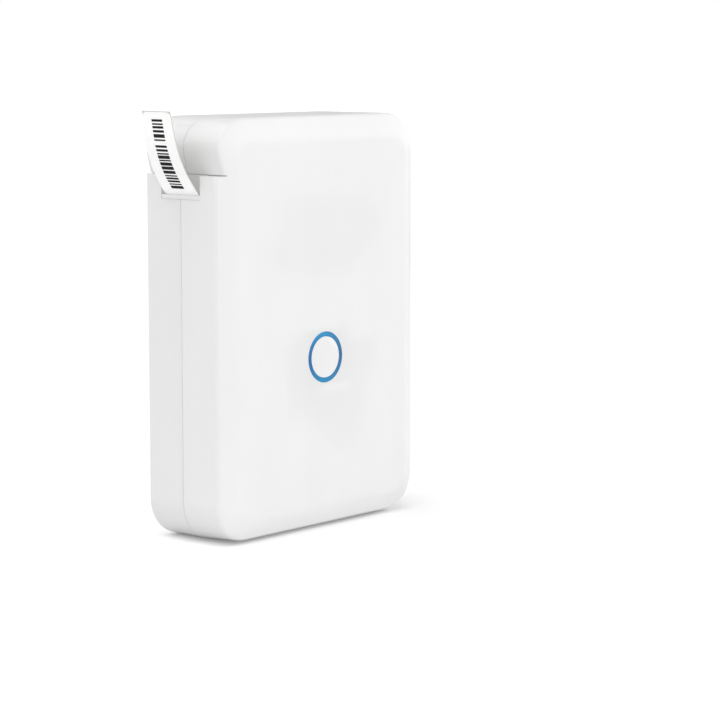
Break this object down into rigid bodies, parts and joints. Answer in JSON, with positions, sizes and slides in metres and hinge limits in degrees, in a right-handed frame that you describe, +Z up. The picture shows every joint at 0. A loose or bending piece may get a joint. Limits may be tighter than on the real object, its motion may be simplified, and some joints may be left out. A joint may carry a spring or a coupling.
{
  "type": "thermal label printer",
  "caption": "Pocket thermal label printer with a bevelled upright body, ringed push button, side label outlet and a hinged rear cover over the roll bay.",
  "frame": {"origin": "middle of the flat bottom face of the body", "axes": "+Z up the body's height, -Y out of the front face with the button, -X out of the label outlet"},
  "size_m": [0.0847, 0.027, 0.1082],
  "materials": {
    "white_shell": "fine satin",
    "milky_shell": "milky, slightly see-through at the edges",
    "light_pipe": "clear blue, lit",
    "black_plastic": "fine spark texture",
    "acetal": "waxy",
    "steel": "rolled and ground",
    "aluminium": "milled",
    "brass": "turned",
    "board": "solder mask",
    "led": "clear over phosphor",
    "pouch": "foil laminate",
    "wire": "insulation",
    "rubber": "ground",
    "ceramic": "glazed",
    "polyimide": "flexible film",
    "blue_plastic": "moulded",
    "card": "paper tube",
    "paper": "coated paper",
    "label": "semi-gloss thermal film"
  },
  "bodies": {
    "housing": {"front_cover": "white_shell", "mid_housing": "white_shell", "chassis": "black_plastic", "battery_cover": "black_plastic", "outlet_lip": "white_shell", "cutter_blade": "steel", "light_ring": "light_pipe", "main_board": "board", "board_components": "black_plastic", "radio_shield": "steel", "ring_leds": "led", "tact_switch": "steel", "usb_socket": "steel", "battery_cell": "pouch", "battery_leads": "wire", "battery_plug": "acetal", "motor_can": "steel", "motor_end_cap": "blue_plastic", "motor_screws": "steel", "idler_axle": "steel", "platen_bushes": "brass", "hinge_pins": "steel", "head_pivot_pin": "steel", "head_springs": "steel", "head_cable": "polyimide", "tag_antenna_board": "board", "paper_sensor": "black_plastic", "cover_switch": "black_plastic", "case_screws": "steel", "board_screws": "steel", "battery_cover_screws": "steel", "label_strip": "paper", "printed_label": "label"},
    "rear_door": {"rear_cover": "milky_shell"},
    "print_head": {"head_bracket": "steel", "head_heatsink": "aluminium", "thermal_element": "ceramic"},
    "cover_plunger": {"cover_plunger": "acetal"},
    "button": {"button_cap": "white_shell"},
    "tact_plunger": {"tact_plunger": "black_plastic"},
    "platen": {"platen_shaft": "steel", "platen_rubber": "rubber", "platen_gear": "acetal"},
    "idler": {"idler_gear": "acetal"},
    "motor_rotor": {"motor_shaft": "steel", "motor_pinion": "brass"},
    "roll": {"roll_core": "card", "label_roll": "paper", "core_sticker": "label"}
  },
  "joints": [
    {"name": "door_hinge", "type": "hinge", "parent": "housing", "child": "rear_door", "pos_m": [0.0364, 0.00065, 0.053], "axis": [0, 0, -1], "range_deg": [0, 90]},
    {"name": "head_lift", "type": "hinge", "parent": "housing", "child": "print_head", "pos_m": [-0.02503, 0, 0.07322], "axis": [0, -1, 0], "range_deg": [0, 5.5], "deforming": ["head_springs", "head_cable"]},
    {"name": "cover_plunger_slide", "type": "slide", "parent": "housing", "child": "cover_plunger", "axis": [0, 1, 0], "range_m": [0, 0.0008]},
    {"name": "button_press", "type": "slide", "parent": "housing", "child": "button", "axis": [0, 1, 0], "range_m": [0, 0.0003], "stiffness_N_per_m": 800},
    {"name": "tact_press", "type": "slide", "parent": "housing", "child": "tact_plunger", "axis": [0, 1, 0], "range_m": [0, 0.0003]},
    {"name": "platen_spin", "type": "hinge", "parent": "housing", "child": "platen", "pos_m": [-0.0273, 0, 0.08452], "axis": [0, 1, 0], "continuous": true},
    {"name": "idler_spin", "type": "hinge", "parent": "housing", "child": "idler", "pos_m": [-0.02141, 0, 0.074], "axis": [0, 1, 0], "continuous": true},
    {"name": "motor_spin", "type": "hinge", "parent": "housing", "child": "motor_rotor", "pos_m": [-0.025, 0, 0.0625], "axis": [0, 1, 0], "continuous": true},
    {"name": "roll_spin", "type": "hinge", "parent": "housing", "child": "roll", "pos_m": [0.00426, 0, 0.07546], "axis": [0, 1, 0], "continuous": true}
  ],
  "couplings": [
    {"joint": "head_lift", "follows": "door_hinge", "ratio": 0.06},
    {"joint": "cover_plunger_slide", "follows": "door_hinge", "m_per_rad": 0.0005093},
    {"joint": "tact_press", "follows": "button_press", "ratio": 1},
    {"joint": "idler_spin", "follows": "platen_spin", "ratio": -1.8571},
    {"joint": "motor_spin", "follows": "platen_spin", "ratio": 4.3333},
    {"joint": "roll_spin", "follows": "platen_spin", "ratio": 0.22989}
  ]
}
